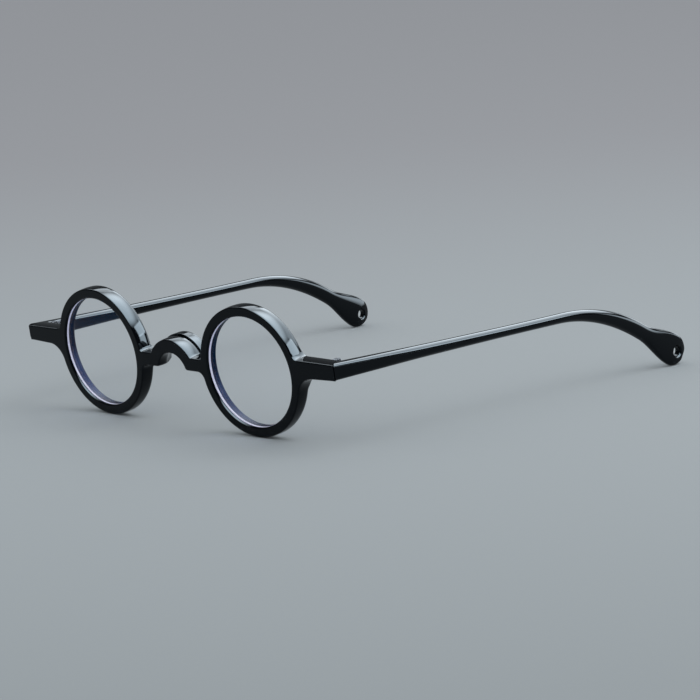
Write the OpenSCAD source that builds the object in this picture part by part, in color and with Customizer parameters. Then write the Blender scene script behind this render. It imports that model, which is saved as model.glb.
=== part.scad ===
// Round acetate eyeglasses, opened and standing on the rims and the temple tips.
// The origin lies on the surface they stand on, in the middle of their footprint.
// X runs to the wearer's left, Y from the front to the temple tips, Z up.

/* [Fit] */
// Width of a lens, measured over its bevel
lens_w = 34; // [30:0.5:42]
// Distance between the two lenses
bridge_gap = 31; // [26:0.5:36]
// Forward lean of the front over the temples, in degrees
lean = 6.7; // [2:0.1:10]
// Turn of each rim round the face, in degrees
wrap = 2.2; // [0:0.1:4]

/* [Rims and lenses] */
// Width of a rim outside the lens
rim_w = 2.5; // [2:0.1:4]
// Depth of the front from face to back
rim_depth = 4.9; // [4.5:0.1:6]
// Rounding of the outer edge at the face
face_edge_r = 0.35; // [0.1:0.05:0.6]
// Rounding of the outer edge at the back
back_edge_r = 0.9; // [0.3:0.05:1.2]
// Bevel round the window at the face
window_bevel = 0.4; // [0.2:0.05:0.5]
// Bevel round the window at the back
window_back_bevel = 0.3; // [0.1:0.05:0.6]
// Height of the lens bevel, which sits in the groove
bevel_h = 0.55; // [0.4:0.05:0.8]
// Width of the lens bevel at its foot
bevel_w = 1.1; // [0.8:0.1:1.4]
// Distance from the face to the tip of the groove
groove_y = 1.2; // [1.1:0.1:2.4]
// Thickness of a lens
lens_t = 1.9; // [1.6:0.1:2.2]
// Radius of the curve of the lens surfaces
lens_curve_r = 120; // [90:5:260]

/* [End pieces] */
// Distance from the lens centre to the outer corner
end_x = 34.3; // [32:0.1:38]
// Height of the middle of the end piece above the lens centre
end_mid_z = 2.65; // [1.5:0.05:4]
// Height of the end piece beside the rim
end_root_h = 5.4; // [5:0.1:6.5]
// Height of the end piece at the corner
end_tip_h = 4.9; // [4.6:0.1:6]
// Fillet between the rim and the top of the end piece
end_top_fillet = 2; // [1:0.1:3]
// Fillet between the rim and the underside of the end piece
end_under_fillet = 6; // [3:0.1:7]
// How far the mitre runs inward from face to back
mitre_run = 3.3; // [2.6:0.1:3.6]

/* [Bridge] */
// Height of the crest above the lens centre
crest_z = 7.1; // [6:0.1:8]
// Radius of the top of the arch
arch_top_r = 10.2; // [9.6:0.1:11]
// Radius of the underside of the arch
arch_under_r = 5.9; // [5.4:0.1:6.4]
// Thickness of the arch at the crest
arch_t = 4.35; // [4:0.05:5]
// Height of the top of the side legs
leg_top_z = 2.3; // [2:0.1:3]
// Height of the underside of the side legs
leg_under_z = -1.93; // [-2.3:0.01:-1.6]
// Fillet between the arch and the top of a leg
arch_fillet = 1.2; // [0.8:0.1:1.6]
// Rounding of the inner corner of a leg
leg_corner_r = 1.2; // [0.8:0.1:1.5]
// Fillet between the top of a leg and the rim
leg_top_fillet = 1; // [0.6:0.1:1.6]
// Fillet between the underside of a leg and the rim
leg_under_fillet = 2.5; // [1.5:0.1:3]
// Thickness of the saddle bonded behind the bridge
saddle_t = 3.2; // [2:0.1:4]
// How far the saddle stands out above the bridge
saddle_flare = 0.6; // [0.3:0.05:0.8]
// Half width of the saddle
saddle_half_w = 11.4; // [11:0.1:12]
// Distance behind the face where the nose bevel starts
nose_bevel_y = 3; // [2:0.1:4]
// Slope of the nose bevel, in degrees
nose_bevel_angle = 32; // [20:1:34]

/* [Temples] */
// Length of the straight part from the corner
temple_straight = 92; // [80:1:110]
// Radius of the bend behind the ear
bend_r = 68; // [50:1:80]
// Angle of the bend, in degrees
bend_angle = 30; // [24:1:34]
// Outward splay of a temple, in degrees
splay = 1.4; // [0.5:0.1:2.5]
// Thickness of a temple at the hinge
temple_t = 3.6; // [3.4:0.1:4.2]
// Thickness of a temple at the tip
tip_t = 3.1; // [2.9:0.1:3.4]
// Height of a temple at its slimmest place
waist_h = 3; // [2.8:0.1:4]
// Distance from the corner to the start of the waist
waist_start = 80; // [60:1:84]
// Distance from the corner to the end of the waist
waist_end = 88; // [86:1:95]
// Height of a temple at the neck before the paddle
neck_h = 5; // [4:0.1:6]
// Radius of the paddle at the tip
paddle_r = 4.9; // [4.4:0.1:5.4]
// Length over which the neck widens into the paddle
flare_l = 15.4; // [10:0.1:16]
// Rounding of the long edges
temple_edge_r = 1.2; // [0.8:0.1:1.3]
// Rounding of the long edges where they meet the front
joint_edge_r = 0.5; // [0.2:0.1:0.8]
// Length over which the rounding of the edges grows
edge_blend_l = 16; // [8:1:24]
// Radius of the cord hole in the tip
cord_hole_r = 1.5; // [1:0.05:1.8]
// Bevel round the mouth of the cord hole
cord_hole_bevel = 0.4; // [0.1:0.05:0.6]
// Distance from the end of the tip to the centre of the cord hole
cord_hole_inset = 3.4; // [3:0.1:4]

/* [Core wires] */
// Radius of the core wire
wire_r = 0.6; // [0.4:0.05:0.7]
// Distance from the anchor foot of the hinge leaf to the front end of the wire
wire_gap = 0.5; // [0.3:0.1:2]
// Distance from the centre of the paddle back to the rear end of the wire
wire_end_gap = 12; // [8:0.5:16]

/* [Hinges] */
// Radius of the hinge barrel
barrel_r = 1.15; // [1.05:0.05:1.25]
// Height of the whole barrel
barrel_h = 4.1; // [3.6:0.1:4.3]
// Gap between two knuckles
knuckle_gap = 0.08; // [0.05:0.01:0.15]
// Number of knuckles
knuckles = 5; // [3:2:7]
// Gap between the barrel and the back of the end piece
barrel_gap = 0.3; // [0.2:0.05:0.6]
// Gap between the barrel and the inner face of the temple
barrel_side_gap = 0.25; // [0.15:0.05:0.5]
// Thickness of a hinge leaf
leaf_t = 1; // [0.8:0.05:1.1]
// Thickness of the web from a leaf to a knuckle
web_t = 1.4; // [1:0.1:1.8]
// Length of the leaf sunk in the end piece
front_leaf_l = 6.4; // [5:0.1:7]
// Length of the leaf sunk in the temple
temple_leaf_l = 9; // [7:0.1:10]
// Height of the leaf sunk in the temple
temple_leaf_h = 3; // [2.6:0.1:3.2]
// Length of the anchor foot under a leaf
anchor_l = 2; // [1.5:0.1:3]
// Depth of the anchor foot under a leaf
anchor_d = 0.9; // [0.6:0.05:1]
// Height of the anchor foot
anchor_h = 1.8; // [1.4:0.1:2.2]
// Radius of the screw shank
screw_r = 0.55; // [0.4:0.05:0.6]
// Radius of the screw head
screw_head_r = 0.85; // [0.75:0.05:0.9]
// Height of the screw head
screw_head_h = 0.35; // [0.2:0.05:0.4]
// Width of the slot in the screw head
screw_slot_w = 0.22; // [0.15:0.01:0.3]
// Depth of the slot in the screw head
screw_slot_d = 0.18; // [0.1:0.01:0.2]

/* [Clearances] */
// Gap between a lens bevel and its groove
lens_fit = 0.05; // [0.02:0.01:0.1]
// Gap at the mitre between the end piece and the temple
mitre_fit = 0.1; // [0.05:0.01:0.2]
// Gap round a sunk hinge leaf
leaf_fit = 0.03; // [0.02:0.01:0.08]
// Gap round a core wire
wire_fit = 0.04; // [0.02:0.01:0.08]
// Running gap round the screw
screw_fit = 0.03; // [0.02:0.01:0.08]

/* [Hidden] */
$fn = 96;

// Depth of one piece into another where they join, and of a cut past a face
bite = 1;
overcut = 2;
sink = 0.01;

lens_r = lens_w / 2;
rim_x = (lens_w + bridge_gap) / 2;
rim_r = lens_r + rim_w;
window_r = lens_r - bevel_h;

// Height of the lens centres over the surface, with the face edge of the rims on it
stand_z = (rim_r - face_edge_r) * cos(lean) + face_edge_r * (1 - sin(lean));

// Outer corner of an end piece, in the upright front and then standing
corner_x = rim_x + end_x * cos(wrap);
corner_depth = end_x * sin(wrap);
corner_y = corner_depth * cos(lean) - end_mid_z * sin(lean);

// Height of the centreline of the temples, in line with the middle of the mitre
temple_z = stand_z + (corner_depth + rim_depth / 2) * sin(lean) + end_mid_z * cos(lean);

// Route of the temples: straight, bent, then down until the paddle meets the surface
bend_l = bend_r * bend_angle * PI / 180;
drop_z = temple_z - paddle_r - bend_r * (1 - cos(bend_angle));
drop_l = drop_z / sin(bend_angle);
paddle_s = temple_straight + bend_l + drop_l;
neck_s = paddle_s - flare_l;
front_half = end_tip_h / 2;
taper_ease = 1.6;

// Footprint, from the top of the rims to the end of the tips
front_y = -rim_r * sqrt(pow(sin(wrap) * cos(lean), 2) + pow(sin(lean), 2));
back_y = corner_y + (route(paddle_s)[0] + paddle_r) * cos(splay);
mid_y = (front_y + back_y) / 2;

// Hinge axis in the frame of its rim, and seen from the corner of the temple
pivot_x = end_x - mitre_run - barrel_r - barrel_side_gap;
pivot_y = rim_depth + barrel_r + barrel_gap;
pivot_depth = pivot_x * sin(wrap) + pivot_y * cos(wrap);
pivot_out_x = rim_x + pivot_x * cos(wrap) - pivot_y * sin(wrap) - corner_x;
pivot_out_y = pivot_depth * cos(lean) - end_mid_z * sin(lean) - corner_y;
pivot_z = stand_z + pivot_depth * sin(lean) + end_mid_z * cos(lean);
pivot_in_temple = [
    pivot_out_x * cos(splay) - pivot_out_y * sin(splay),
    pivot_out_x * sin(splay) + pivot_out_y * cos(splay),
    pivot_z
];
knuckle_h = (barrel_h - (knuckles - 1) * knuckle_gap) / knuckles;
leaf_recess = 0.1;

// Sunk leaf in a temple, its anchor foot and the wire behind it
leaf_y = pivot_in_temple[1] - web_t / 2;
anchor_y = leaf_y + temple_leaf_l - 1.5 * anchor_l;
wire_start = anchor_y + anchor_l + wire_gap;
wire_lap = 0.3;
wire_draw = 0.01;

// Steps along and round a temple
straight_steps = 10;
bend_steps = 12;
neck_steps = 8;
cap_steps = 9;
corner_steps = 4;
arc_steps = 12;
cap_end = 86;

function ease(u) = let (v = max(0, min(1, u))) v * v * (3 - 2 * v);

function bend_at(s) = max(0, min(bend_angle, (s - temple_straight) / bend_r * 180 / PI));

// Place on the centreline at distance s from the corner, as [along, up]
function route(s) =
    let (a = bend_at(s), past = max(0, s - temple_straight - bend_l))
    [
        min(s, temple_straight) + bend_r * sin(a) + past * cos(a),
        temple_z - bend_r * (1 - cos(a)) - past * sin(a)
    ];

// Half the height of a temple at distance s
function half_h(s) =
    s > paddle_s ? sqrt(max(0, pow(paddle_r, 2) - pow(s - paddle_s, 2))) :
    let (taper = 1 - pow(1 - max(0, min(1, s / waist_start)), taper_ease))
    front_half + (waist_h / 2 - front_half) * taper
        + (neck_h - waist_h) / 2 * ease((s - waist_end) / (neck_s - waist_end))
        + (paddle_r - neck_h / 2) * ease((s - neck_s) / flare_l);

// Thickness of a temple at distance s, without the rounding of its end
function thick(s) = temple_t + (tip_t - temple_t) * max(0, min(1, s / paddle_s));

// Half the thickness at distance s, drawn in over the rounding at the very end
function half_t(s) =
    let (u = max(0, (s - paddle_s - paddle_r) / temple_edge_r + 1))
    thick(s) / 2 - temple_edge_r * (1 - sqrt(max(0, 1 - u * u)));

function edge_r(s) =
    min(half_h(s), joint_edge_r + (temple_edge_r - joint_edge_r) * ease(s / edge_blend_l));

// One ring of points round a temple, square to its centreline
function ring(s) =
    let (p = route(s), a = bend_at(s), w = half_t(s), h = half_h(s), r = min(w, edge_r(s)))
    [
        for (q = [0:3], j = [0:corner_steps])
        let (
            turn = 90 * q + 90 * j / corner_steps,
            across = (q == 0 || q == 3 ? 1 : -1) * (w - r) + r * cos(turn),
            up = (q < 2 ? 1 : -1) * (h - r) + r * sin(turn)
        )
        [across - thick(s) / 2, p[0] + up * sin(a), p[1] + up * cos(a)]
    ];

function turned(angle) = [cos(angle), sin(angle)];

// Points along an arc, from one angle to another
function arc(centre, r, from, to) =
    [for (i = [0:arc_steps]) centre + r * turned(from + (to - from) * i / arc_steps)];

// Points of the fillet between a level line over the lens centre and the rim, line first
function rim_fillet(z, r) =
    let (
        reach = rim_r + r - sink,
        x = sqrt(pow(reach, 2) - pow(z + r, 2))
    )
    arc([x, z + r], r, 270, 180 + atan2(z + r, x));

// The same points turned over to lie below, in reversed order
function flipped(points) = [for (i = [len(points) - 1:-1:0]) [points[i][0], -points[i][1]]];

// The same points on the other side of the middle, in reversed order
function reversed_mirror(points) = [for (i = [len(points) - 2:-1:1]) [-points[i][0], points[i][1]]];

stations = concat(
    [for (i = [0:straight_steps]) -overcut + (temple_straight + overcut) * i / straight_steps],
    [for (i = [1:bend_steps]) temple_straight + bend_l * i / bend_steps],
    [for (i = [1:neck_steps]) temple_straight + bend_l + drop_l * i / neck_steps],
    [for (i = [1:cap_steps]) paddle_s + paddle_r * sin(cap_end * i / cap_steps)]
);

// Stands the upright front on its rims
module stand() {
    translate([0, -mid_y, stand_z]) rotate([lean, 0, 0]) children();
}

// Mirrors what is drawn for the wearer's left to the side asked for
module on_side(left) {
    if (left) children();
    else mirror([1, 0, 0]) children();
}

// Frame of a rim: origin at the lens centre on the face, X outward, Y to the back
module at_rim(left) {
    stand() on_side(left) translate([rim_x, 0, 0]) rotate([0, 0, wrap]) children();
}

// Frame of a temple: origin under the outer corner of the end piece
module at_temple(left) {
    on_side(left) translate([corner_x, corner_y - mid_y, 0]) rotate([0, 0, -splay]) children();
}

// Extrudes an outline drawn across and up from face to back
module to_back(depth) {
    rotate([90, 0, 0]) translate([0, 0, -depth]) linear_extrude(depth) children();
}

// Turns a section drawn as radius and depth round the axis of the lens
module round_lens_axis() {
    rotate([-90, 0, 0]) rotate_extrude($fn = 180) children();
}

module rim_section() {
    polygon([
        [window_r + window_bevel, 0],
        [rim_r - face_edge_r, 0],
        [rim_r - face_edge_r, face_edge_r],
        [rim_r, face_edge_r],
        [rim_r, rim_depth - back_edge_r],
        [rim_r - back_edge_r, rim_depth - back_edge_r],
        [rim_r - back_edge_r, rim_depth],
        [window_r + window_back_bevel, rim_depth],
        [window_r, rim_depth - window_back_bevel],
        [window_r, groove_y + bevel_w / 2 + lens_fit],
        [lens_r + lens_fit, groove_y],
        [window_r, groove_y - bevel_w / 2 - lens_fit],
        [window_r, window_bevel]
    ]);
    translate([rim_r - face_edge_r, face_edge_r]) circle(face_edge_r);
    translate([rim_r - back_edge_r, rim_depth - back_edge_r]) circle(back_edge_r);
}

// Outline of an end piece, running from inside the rim out to the corner
module end_piece_outline() {
    top = end_mid_z + end_root_h / 2;
    under = end_mid_z - end_root_h / 2;
    polygon(concat(
        [[end_x, end_mid_z - end_tip_h / 2], [end_x, end_mid_z + end_tip_h / 2]],
        rim_fillet(top, end_top_fillet),
        [[rim_r - 2 * bite, top], [rim_r - 2 * bite, under]],
        flipped(rim_fillet(-under, end_under_fillet))
    ));
}

// Everything outside the mitre, moved out by the gap asked for
module mitre_cut(gap) {
    slant = atan(mitre_run / rim_depth);
    translate([end_x, 0, 0]) rotate([0, 0, slant]) translate([gap, -end_x, -rim_r])
        cube([end_x, 3 * end_x, 2 * rim_r]);
}

module end_piece() {
    difference() {
        to_back(rim_depth) end_piece_outline();
        mitre_cut(0);
    }
}

// Points of the bridge's right half, from its crest round to the middle of its underside
function bridge_half(flare) =
    let (
        arch_z = crest_z - arch_top_r,
        hollow_z = crest_z - arch_t - arch_under_r,
        top_z = leg_top_z + flare,
        top_r = arch_top_r + flare,
        fillet_z = top_z + arch_fillet,
        fillet_x = sqrt(pow(top_r + arch_fillet, 2) - pow(fillet_z - arch_z, 2)),
        fillet_turn = atan2(fillet_z - arch_z, fillet_x),
        knee_z = leg_under_z + leg_corner_r,
        knee_x = sqrt(pow(arch_under_r + leg_corner_r, 2) - pow(knee_z - hollow_z, 2)),
        knee_turn = atan2(knee_z - hollow_z, knee_x)
    )
    [
        arc([0, arch_z], top_r, 90, fillet_turn),
        arc([fillet_x, fillet_z], arch_fillet, 180 + fillet_turn, 270),
        arc([knee_x, knee_z], leg_corner_r, 270, 180 + knee_turn),
        arc([0, hollow_z], arch_under_r, knee_turn, 90)
    ];

// The whole outline between the rims, with the ends of its legs given as points
module bridge_outline(flare, leg_end) {
    half = bridge_half(flare);
    polygon(concat(
        half[0], half[1], leg_end, half[2], half[3],
        reversed_mirror(concat(half[0], half[1], leg_end, half[2], half[3]))
    ));
}

// Ends of the legs inside the rims, with a fillet over and under each leg
function bridge_leg_end() =
    let (
        over = rim_fillet(leg_top_z, leg_top_fillet),
        below = flipped(rim_fillet(-leg_under_z, leg_under_fillet)),
        inside = rim_x - rim_r + bite
    )
    concat(
        [for (i = [0:len(over) - 1]) [rim_x - over[i][0], over[i][1]]],
        [[inside, leg_top_z], [inside, leg_under_z]],
        [for (i = [0:len(below) - 1]) [rim_x - below[i][0], below[i][1]]]
    );

// The bevel that lets the nose in from the back, as the space it clears
module nose_bevel() {
    hollow_z = crest_z - arch_t - arch_under_r;
    slope = tan(nose_bevel_angle);
    tip_y = nose_bevel_y - bite / slope;
    cone_l = rim_depth + saddle_t + overcut - tip_y;
    translate([0, tip_y, hollow_z]) rotate([-90, 0, 0])
        cylinder(h = cone_l, r1 = arch_under_r - bite, r2 = arch_under_r - bite + cone_l * slope);
}

// Frame of the bridge, whose face meets the faces of the two rims
module at_bridge() {
    stand() translate([0, -(rim_r - bite) * sin(wrap), 0]) children();
}

module front_web() {
    for (left = [true, false]) at_rim(left) {
        round_lens_axis() rim_section();
        end_piece();
    }
    at_bridge() difference() {
        to_back(rim_depth) bridge_outline(0, bridge_leg_end());
        nose_bevel();
    }
}

module front() {
    color("#0b0c0f") difference() {
        front_web();
        for (left = [true, false]) at_rim(left) front_leaf_shape(leaf_fit);
    }
}

module bridge_saddle() {
    color("#101116") at_bridge() difference() {
        translate([0, rim_depth, 0]) to_back(saddle_t) bridge_outline(saddle_flare, [
            [saddle_half_w, leg_top_z + saddle_flare],
            [saddle_half_w, leg_under_z]
        ]);
        nose_bevel();
    }
}

// A lens: a round blank with its bevel, between two parallel curves
module lens() {
    edge_y = groove_y - bevel_w / 2;
    vertex_y = edge_y - (lens_curve_r - sqrt(pow(lens_curve_r, 2) - pow(window_r, 2)));
    intersection() {
        difference() {
            translate([0, vertex_y + lens_curve_r, 0]) sphere(lens_curve_r);
            translate([0, vertex_y + lens_t + lens_curve_r, 0]) sphere(lens_curve_r);
        }
        round_lens_axis() polygon([
            [0, vertex_y],
            [window_r - lens_fit, vertex_y],
            [window_r - lens_fit, edge_y],
            [lens_r, groove_y],
            [window_r - lens_fit, groove_y + bevel_w / 2],
            [window_r - lens_fit, rim_depth],
            [0, rim_depth]
        ]);
    }
}

// The temple before it is cut: rings of points along its route
module temple_blank() {
    rings = len(stations);
    n = 4 * (corner_steps + 1);
    polyhedron(
        points = [for (s = stations) each ring(s)],
        faces = concat(
            [[for (i = [0:n - 1]) i]],
            [[for (i = [n - 1:-1:0]) (rings - 1) * n + i]],
            [for (k = [0:rings - 2], i = [0:n - 1]) [k * n + i, (k + 1) * n + i, k * n + (i + 1) % n]],
            [for (k = [0:rings - 2], i = [0:n - 1])
                [(k + 1) * n + i, (k + 1) * n + (i + 1) % n, k * n + (i + 1) % n]]
        )
    );
}

// The wire along the route, drawn a little thinner round the bend
module wire(from, to, r) {
    bend_end = temple_straight + bend_l;
    translate([-temple_t / 2, 0, 0]) {
        translate([0, from, temple_z]) rotate([-90, 0, 0])
            cylinder(h = temple_straight + wire_lap - from, r = r);
        translate([0, temple_straight, temple_z - bend_r]) rotate([0, 90, 0])
            rotate([0, 0, 180 - bend_angle])
            rotate_extrude(angle = bend_angle) translate([bend_r, 0]) circle(r - wire_draw);
        translate([0, route(bend_end)[0], route(bend_end)[1]]) rotate([-90 - bend_angle, 0, 0])
            translate([0, 0, -wire_lap]) cylinder(h = to + wire_lap - bend_end, r = r);
    }
}

module cord_hole() {
    hole_s = paddle_s + paddle_r - cord_hole_inset;
    place = route(hole_s);
    depth = thick(hole_s);
    translate([0, place[0], place[1]]) rotate([0, -90, 0]) {
        translate([0, 0, -overcut]) cylinder(h = depth + 2 * overcut, r = cord_hole_r);
        translate([0, 0, -bite]) cylinder(h = bite + cord_hole_bevel,
            r1 = cord_hole_r + cord_hole_bevel + bite, r2 = cord_hole_r);
        translate([0, 0, depth - cord_hole_bevel]) cylinder(h = bite + cord_hole_bevel,
            r1 = cord_hole_r, r2 = cord_hole_r + cord_hole_bevel + bite);
    }
}

module temple(left) {
    color("#0d0e12") difference() {
        at_temple(left) difference() {
            temple_blank();
            cord_hole();
            wire(wire_start - wire_gap - bite, paddle_s - wire_end_gap + wire_fit, wire_r + wire_fit);
            temple_leaf_plate(leaf_fit);
        }
        at_rim(left) difference() {
            translate([0, -2 * end_x, -rim_r]) cube([2 * end_x, 2 * end_x + rim_depth + mitre_fit, 2 * rim_r]);
            mitre_cut(mitre_fit);
        }
    }
}

module core_wire(left) {
    color("silver") at_temple(left) wire(wire_start, paddle_s - wire_end_gap, wire_r);
}

// The barrel's knuckles, every second one, from the bottom up
module barrel(first) {
    translate([pivot_x, pivot_y, end_mid_z - barrel_h / 2])
        for (i = [first:2:knuckles - 1]) translate([0, 0, i * (knuckle_h + knuckle_gap)])
            cylinder(h = knuckle_h, r = barrel_r);
}

// The bore of the barrel with the seat of the screw head at its top
module screw_bore() {
    translate([pivot_x, pivot_y, end_mid_z]) {
        translate([0, 0, -barrel_h]) cylinder(h = 2 * barrel_h, r = screw_r + screw_fit);
        translate([0, 0, barrel_h / 2 - screw_head_h - screw_fit])
            cylinder(h = barrel_h, r = screw_head_r + screw_fit);
    }
}

// The leaf in the end piece, with its anchor foot, grown by a gap
module front_leaf_shape(gap) {
    plate_x = pivot_x + web_t / 2 - front_leaf_l;
    translate([plate_x - gap, rim_depth - leaf_t - gap, end_mid_z - barrel_h / 2 - gap])
        cube([front_leaf_l + 2 * gap, leaf_t + (gap > 0 ? overcut : 0), barrel_h + 2 * gap]);
    translate([
        plate_x + (front_leaf_l - anchor_l) / 2 - gap,
        rim_depth - leaf_t - anchor_d - gap,
        end_mid_z - anchor_h / 2 - gap
    ]) cube([anchor_l + 2 * gap, anchor_d + bite / 2, anchor_h + 2 * gap]);
}

module front_leaf(left) {
    color("silver") at_rim(left) difference() {
        union() {
            front_leaf_shape(0);
            barrel(0);
            for (i = [0:2:knuckles - 1])
                translate([
                    pivot_x - web_t / 2,
                    rim_depth - leaf_t / 2,
                    end_mid_z - barrel_h / 2 + i * (knuckle_h + knuckle_gap)
                ]) cube([web_t, pivot_y - rim_depth + leaf_t / 2, knuckle_h]);
        }
        screw_bore();
    }
}

// The leaf in the temple, with its anchor foot, grown by a gap
module temple_leaf_plate(gap) {
    inner_x = -temple_t + leaf_recess;
    translate([inner_x - (gap > 0 ? overcut : 0), leaf_y - gap, pivot_z - temple_leaf_h / 2 - gap])
        cube([leaf_t + gap + (gap > 0 ? overcut : 0), temple_leaf_l + 2 * gap, temple_leaf_h + 2 * gap]);
    translate([inner_x + leaf_t - bite / 2, anchor_y - gap, temple_z - anchor_h / 2 - gap])
        cube([anchor_d + bite / 2 + gap, anchor_l + 2 * gap, anchor_h + 2 * gap]);
}

module temple_leaf(left) {
    color("silver") {
        at_rim(left) difference() {
            barrel(1);
            screw_bore();
        }
        at_temple(left) difference() {
            union() {
                temple_leaf_plate(0);
                translate(pivot_in_temple) rotate([lean, 0, 0])
                    for (i = [1:2:knuckles - 1])
                        translate([0, -web_t / 2, -barrel_h / 2 + i * (knuckle_h + knuckle_gap)])
                            cube([-temple_t + leaf_recess + leaf_t / 2 - pivot_in_temple[0], web_t, knuckle_h]);
            }
            translate(pivot_in_temple) rotate([lean, 0, 0]) translate([0, 0, -barrel_h])
                cylinder(h = 2 * barrel_h, r = (barrel_r + screw_r) / 2);
        }
    }
}

module hinge_screw(left) {
    top = barrel_h / 2;
    color("gainsboro") at_rim(left) translate([pivot_x, pivot_y, end_mid_z]) difference() {
        union() {
            translate([0, 0, -top]) cylinder(h = barrel_h - screw_head_h, r = screw_r);
            translate([0, 0, top - screw_head_h]) cylinder(h = screw_head_h, r = screw_head_r);
        }
        translate([-barrel_r, -screw_slot_w / 2, top - screw_slot_d]) cube([2 * barrel_r, screw_slot_w, bite]);
    }
}

front();
bridge_saddle();
color("#c8d4ea", 0.4) at_rim(true) lens();  // lens_left
color("#c8d4ea", 0.4) at_rim(false) lens();  // lens_right
temple(true);  // temple_left
temple(false);  // temple_right
core_wire(true);  // core_wire_left
core_wire(false);  // core_wire_right
front_leaf(true);  // front_leaf_left
front_leaf(false);  // front_leaf_right
temple_leaf(true);  // temple_leaf_left
temple_leaf(false);  // temple_leaf_right
hinge_screw(true);  // hinge_screw_left
hinge_screw(false);  // hinge_screw_right
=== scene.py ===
from math import atan2, ceil, cos, degrees, pi, radians, sin, sqrt

import bmesh
import bpy
from mathutils import Matrix, Vector
from mathutils.geometry import tessellate_polygon


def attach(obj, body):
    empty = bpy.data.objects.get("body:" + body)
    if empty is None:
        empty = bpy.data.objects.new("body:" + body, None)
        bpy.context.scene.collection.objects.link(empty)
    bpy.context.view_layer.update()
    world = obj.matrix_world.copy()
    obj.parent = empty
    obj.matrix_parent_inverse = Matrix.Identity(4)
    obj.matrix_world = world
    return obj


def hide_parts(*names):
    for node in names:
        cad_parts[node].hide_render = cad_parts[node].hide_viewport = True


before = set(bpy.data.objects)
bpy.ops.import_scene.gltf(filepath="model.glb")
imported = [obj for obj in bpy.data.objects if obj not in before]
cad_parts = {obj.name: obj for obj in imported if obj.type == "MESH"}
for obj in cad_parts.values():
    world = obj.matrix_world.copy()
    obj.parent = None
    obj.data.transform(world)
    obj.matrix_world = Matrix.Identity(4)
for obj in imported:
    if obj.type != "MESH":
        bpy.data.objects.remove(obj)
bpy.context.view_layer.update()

mm = 0.001
nearly = 0.01  # millimetres, to tell whether a point lies on a line
sides = ("left", "right")

# The stance, and the sizes that several pieces share, in millimetres and degrees
glasses = {
    "lensR": 17, "rimX": 32.5, "rimR": 19.5, "windowR": 16.45, "depth": 4.9,
    "lean": 6.7, "wrap": 2.2, "edgeR": 0.35, "endX": 34.3, "endMidZ": 2.65, "mitreRun": 3.3,
    "hollowR": 5.9, "hollowZ": -3.15, "noseY": 3, "noseSlope": 0.6249, "noseReach": 12,  # the nose's space
    "bridgeLap": 1,  # how far inside a rim's edge the bridge's face meets it
    "footEnd": 146.3861,  # from the face of the front to the very end of the tips
}

temple = {  # the temples' route and sections, in millimetres and degrees
    "straight": 92, "bendR": 68, "bendAngle": 30, "splay": 1.4,
    "thick": 3.6, "tipThick": 3.1, "frontHalf": 2.45, "waistHalf": 1.5, "waistStart": 80,
    "waistEnd": 88, "neckHalf": 2.5, "paddleR": 4.9, "flareL": 15.4, "taper": 1.6,
    "jointEdgeR": 0.9, "edgeR": 1.1, "tipEdgeR": 0.75, "edgeBlend": 16, "lead": 2,
    "crown": 0.5, "tipCrownIn": 0.9, "tipCrownOut": 0.4, "crownStart": 12, "crownRun": 24,  # the sides' bulge
}


def sinD(a): return sin(radians(a))
def cosD(a): return cos(radians(a))


def turn(angle, axis):
    return Matrix.Rotation(radians(angle), 4, axis)


def shift(x, y, z):
    return Matrix.Translation((x, y, z))


# The frames of the standing front, of a rim, of the bridge and of a temple
lean, wrap = glasses["lean"], glasses["wrap"]
standZ = (glasses["rimR"] - glasses["edgeR"]) * cosD(lean) + glasses["edgeR"] * (1 - sinD(lean))
frontY = -glasses["rimR"] * sqrt((sinD(wrap) * cosD(lean)) ** 2 + sinD(lean) ** 2)
midY = (frontY + glasses["footEnd"]) / 2
cornerX = glasses["rimX"] + glasses["endX"] * cosD(wrap)
cornerDepth = glasses["endX"] * sinD(wrap)
cornerY = cornerDepth * cosD(lean) - glasses["endMidZ"] * sinD(lean)
templeZ = standZ + (cornerDepth + glasses["depth"] / 2) * sinD(lean) + glasses["endMidZ"] * cosD(lean)
bendL = temple["bendR"] * radians(temple["bendAngle"])
dropZ = templeZ - temple["paddleR"] - temple["bendR"] * (1 - cosD(temple["bendAngle"]))
paddleS = temple["straight"] + bendL + dropZ / sinD(temple["bendAngle"])

stand = Matrix.Scale(mm, 4) @ shift(0, -midY, standZ) @ turn(lean, "X")
bridgeAt = stand @ shift(0, -(glasses["rimR"] - glasses["bridgeLap"]) * sinD(wrap), 0)


def sideways(side):
    return Matrix.Diagonal((1 if side == "left" else -1, 1, 1, 1))


def rimAt(side):
    return stand @ sideways(side) @ shift(glasses["rimX"], 0, 0) @ turn(wrap, "Z")


def templeAt(side):
    corner = shift(cornerX, cornerY - midY, 0)
    return Matrix.Scale(mm, 4) @ sideways(side) @ corner @ turn(-temple["splay"], "Z")


# Node trees, for shapes and for materials

class Flow:  # an output socket that sums and products can be written with
    def __init__(self, tree, socket):
        self.tree, self.socket = tree, socket

    def out(self, name):
        return Flow(self.tree, self.socket.node.outputs[name])

    def math(self, operation, *others):
        return self.tree.add("ShaderNodeMath", {"operation": operation}, self, *others)

    def reflected(self, operation, first):
        return self.tree.add("ShaderNodeMath", {"operation": operation}, first, self)

    def __add__(self, other): return self.math("ADD", other)
    def __radd__(self, other): return self.math("ADD", other)
    def __sub__(self, other): return self.math("SUBTRACT", other)
    def __rsub__(self, other): return self.reflected("SUBTRACT", other)
    def __mul__(self, other): return self.math("MULTIPLY", other)
    def __rmul__(self, other): return self.math("MULTIPLY", other)
    def __truediv__(self, other): return self.math("DIVIDE", other)
    def __rtruediv__(self, other): return self.reflected("DIVIDE", other)
    def __pow__(self, other): return self.math("POWER", other)
    def __neg__(self): return self * -1


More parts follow.
